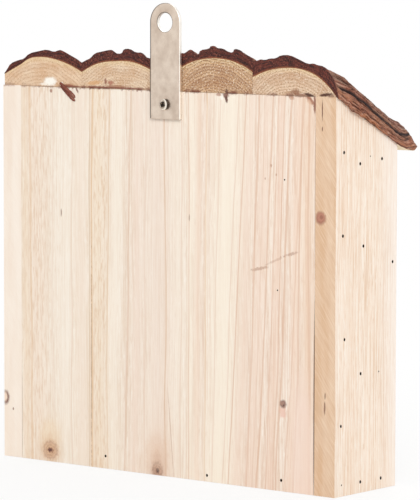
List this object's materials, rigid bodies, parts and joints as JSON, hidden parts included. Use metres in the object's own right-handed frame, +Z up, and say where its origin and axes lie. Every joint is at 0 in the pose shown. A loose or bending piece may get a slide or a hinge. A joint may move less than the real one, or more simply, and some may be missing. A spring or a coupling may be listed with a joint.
{
  "type": "insect hotel",
  "caption": "Wall-hung insect hotel: a slim softwood box with a sloping half-log roof, bays of canes, drilled wood and cones, and a steel hanger plate that swivels.",
  "frame": {"origin": "middle of the footprint, on the surface that the box stands on", "axes": "+X right seen from the front, -Y out of the front, +Z up"},
  "size_m": [0.2818, 0.0912, 0.3087],
  "materials": {
    "panel_wood": "bare sawn fir, glued staves",
    "side_wood": "bare planed fir",
    "shelf_wood": "bare planed fir",
    "slab_wood": "sawn end grain with growth rings",
    "bark": "rough furrowed conifer bark",
    "plate_steel": "zinc-plated stamped sheet",
    "screw_steel": "zinc-plated screw",
    "bamboo": "sawn dry bamboo cane",
    "cone_scale": "dry open pine cone",
    "block_wood": "drilled beech end grain",
    "branch_wood": "drilled branch with its bark",
    "mesh_wire": "galvanised welded wire"
  },
  "bodies": {
    "box": {"side_board_left": "side_wood", "side_board_right": "side_wood", "back_stave_1": "panel_wood", "back_stave_2": "panel_wood", "back_stave_3": "panel_wood", "bottom_board": "shelf_wood", "lower_shelf": "shelf_wood", "upper_shelf": "shelf_wood", "ceiling_board": "shelf_wood", "cone_bay_divider": "shelf_wood", "cane_bay_divider_left": "shelf_wood", "cane_bay_divider_right": "shelf_wood", "block_bay_divider_left": "shelf_wood", "block_bay_divider_right": "shelf_wood", "roof_slab_1_wood": "slab_wood", "roof_slab_1_bark": "bark", "roof_slab_2_wood": "slab_wood", "roof_slab_2_bark": "bark", "roof_slab_3_wood": "slab_wood", "roof_slab_3_bark": "bark", "roof_slab_4_wood": "slab_wood", "roof_slab_4_bark": "bark", "hanger_screw": "screw_steel", "butterfly_front": "side_wood", "cane_left_1": "bamboo", "cane_left_2": "bamboo", "cane_left_3": "bamboo", "cane_left_4": "bamboo", "cane_left_5": "bamboo", "cane_left_6": "bamboo", "cane_left_7": "bamboo", "cane_left_8": "bamboo", "cane_left_9": "bamboo", "cane_left_10": "bamboo", "cane_left_11": "bamboo", "cane_left_12": "bamboo", "cane_right_1": "bamboo", "cane_right_2": "bamboo", "cane_right_3": "bamboo", "cane_right_4": "bamboo", "cane_right_5": "bamboo", "cane_right_6": "bamboo", "cane_right_7": "bamboo", "cane_right_8": "bamboo", "cane_right_9": "bamboo", "cane_right_10": "bamboo", "cane_right_11": "bamboo", "cane_right_12": "bamboo", "drilled_block_left": "block_wood", "drilled_block_right": "block_wood", "log_section_left": "branch_wood", "log_section_right": "branch_wood", "pine_cone_1": "cone_scale", "pine_cone_2": "cone_scale", "pine_cone_3": "cone_scale", "pine_cone_4": "cone_scale", "wire_mesh": "mesh_wire"},
    "hanger": {"hanger_plate": "plate_steel"}
  },
  "joints": [
    {"name": "hanger_swivel", "type": "hinge", "parent": "box", "child": "hanger", "pos_m": [-0.0032, 0.0325, 0.2433], "axis": [0, 1, 0], "continuous": true}
  ]
}
